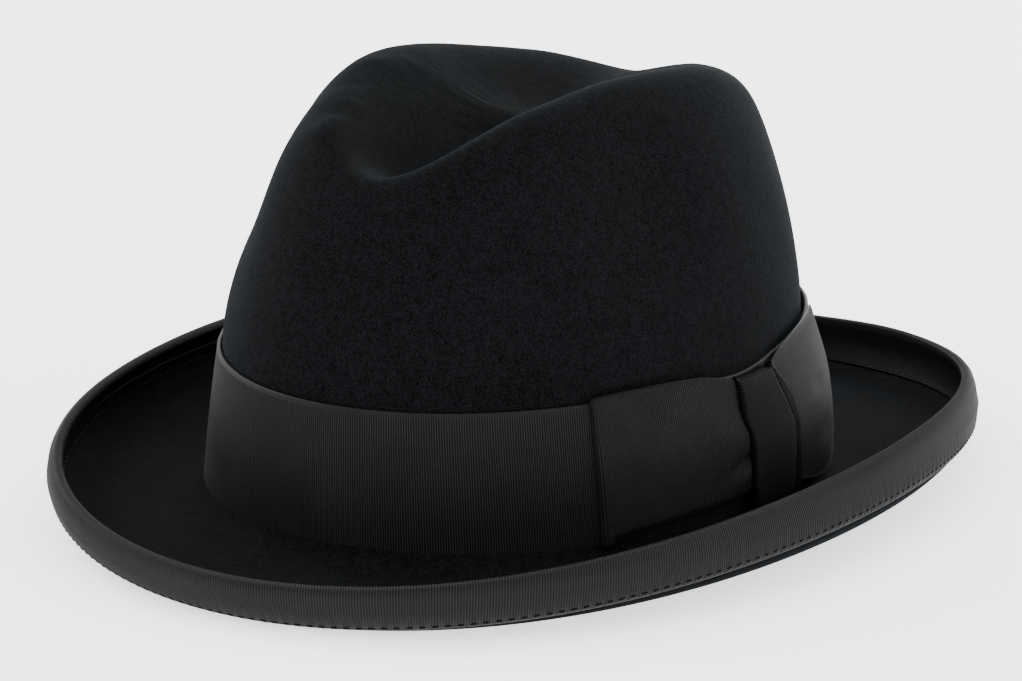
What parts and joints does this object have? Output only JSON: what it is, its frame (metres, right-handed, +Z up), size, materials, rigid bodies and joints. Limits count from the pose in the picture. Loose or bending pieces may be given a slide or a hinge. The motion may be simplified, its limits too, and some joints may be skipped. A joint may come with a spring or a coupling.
{
  "type": "homburg hat",
  "caption": "Dark felt homburg hat with one crease along the crown, a rolled and bound brim, a ribbed ribbon round the crown and a flat bow on the wearer's left.",
  "frame": {"origin": "under the middle of the hat's box, on the surface that it rests on", "axes": "+Z up; the hat's front points to -Y and the wearer's left, with the bow, to +X"},
  "size_m": [0.2416, 0.322, 0.1246],
  "materials": {
    "felt": "smooth brushed fur felt",
    "ribbon": "ribbed grosgrain"
  },
  "bodies": {
    "root": {"felt_body": "felt", "hat_band": "ribbon", "brim_binding": "ribbon", "bow_front_wing": "ribbon", "bow_back_wing": "ribbon", "bow_knot": "ribbon"}
  },
  "joints": []
}
